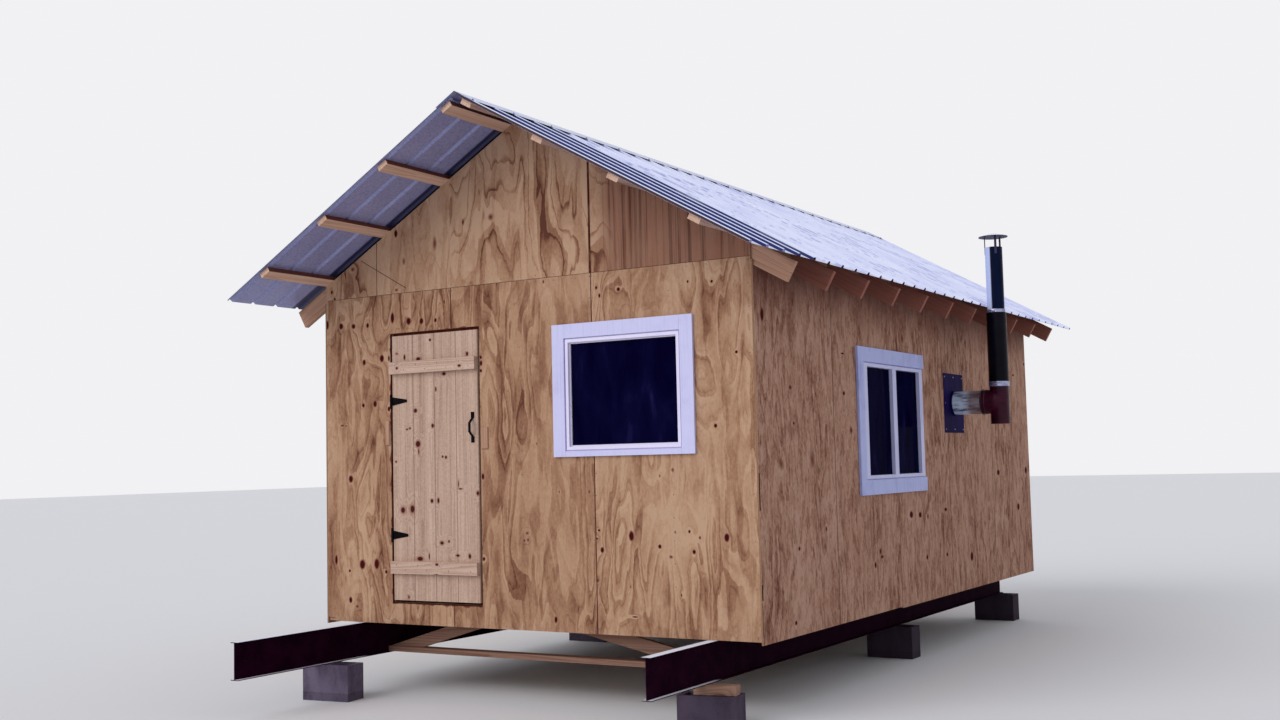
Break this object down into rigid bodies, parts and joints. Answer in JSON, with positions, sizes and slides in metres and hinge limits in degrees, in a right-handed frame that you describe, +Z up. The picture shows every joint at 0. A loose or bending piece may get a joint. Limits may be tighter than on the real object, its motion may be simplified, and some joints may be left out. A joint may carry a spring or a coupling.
{
  "type": "off-grid cabin",
  "caption": "Small plywood cabin on steel beams and block piers, with a ribbed metal gable roof, a board door that opens, trimmed windows and a stovepipe on the side wall",
  "frame": {"origin": "the middle of the object's bounding box in plan, on the ground that the piers stand on", "axes": "+Z up; +Y from the front wall with the door to the back wall, along the ridge; +X toward the wall with the stovepipe"},
  "size_m": [4.5378, 7.9182, 4.1588],
  "materials": {
    "plywood": "matte",
    "framing": "matte",
    "door_wood": "matte",
    "hand_grip": "satin",
    "window_vinyl": "satin",
    "trim_paint": "satin",
    "pane": "gloss",
    "roof_metal": "satin",
    "beam_paint": "satin",
    "concrete": "matte",
    "pipe_black": "satin",
    "galvanized": "satin"
  },
  "bodies": {
    "cabin": {"floor_deck": "plywood", "front_sheet_left": "plywood", "front_sheet_middle": "plywood", "front_sheet_right": "plywood", "front_gable_sheets": "plywood", "back_wall_sheets": "plywood", "left_wall_sheets": "plywood", "right_wall_sheets": "plywood", "pier_shim": "framing", "cross_timbers": "framing", "cross_braces": "framing", "floor_joists": "framing", "bottom_plates": "framing", "top_plates": "framing", "wall_studs": "framing", "headers_and_sills": "framing", "gable_studs": "framing", "rafters": "framing", "eave_blocks": "framing", "ridge_board": "framing", "purlins": "framing", "door_stops": "door_wood", "hinge_plates": "hand_grip", "front_window_frame": "window_vinyl", "side_window_frame": "window_vinyl", "front_window_trim": "trim_paint", "side_window_trim": "trim_paint", "window_glass": "pane", "roof_metal_left": "roof_metal", "roof_metal_right": "roof_metal", "ridge_cap": "roof_metal", "beam_left": "beam_paint", "beam_right": "beam_paint", "pier_blocks": "concrete", "pier_pads": "concrete", "chimney_lower": "pipe_black", "chimney_upper": "pipe_black", "chimney_cap": "pipe_black", "pipe_tee": "pipe_black", "wall_thimble": "galvanized", "pipe_run": "galvanized"},
    "door": {"door_boards": "door_wood", "door_battens": "door_wood", "hinge_straps": "hand_grip", "door_handle": "hand_grip"}
  },
  "joints": [
    {"name": "door_hinge", "type": "hinge", "parent": "cabin", "child": "door", "pos_m": [-1.2775, -2.7151, 1.6495], "axis": [0, 0, -1], "range_deg": [0, 95]}
  ]
}
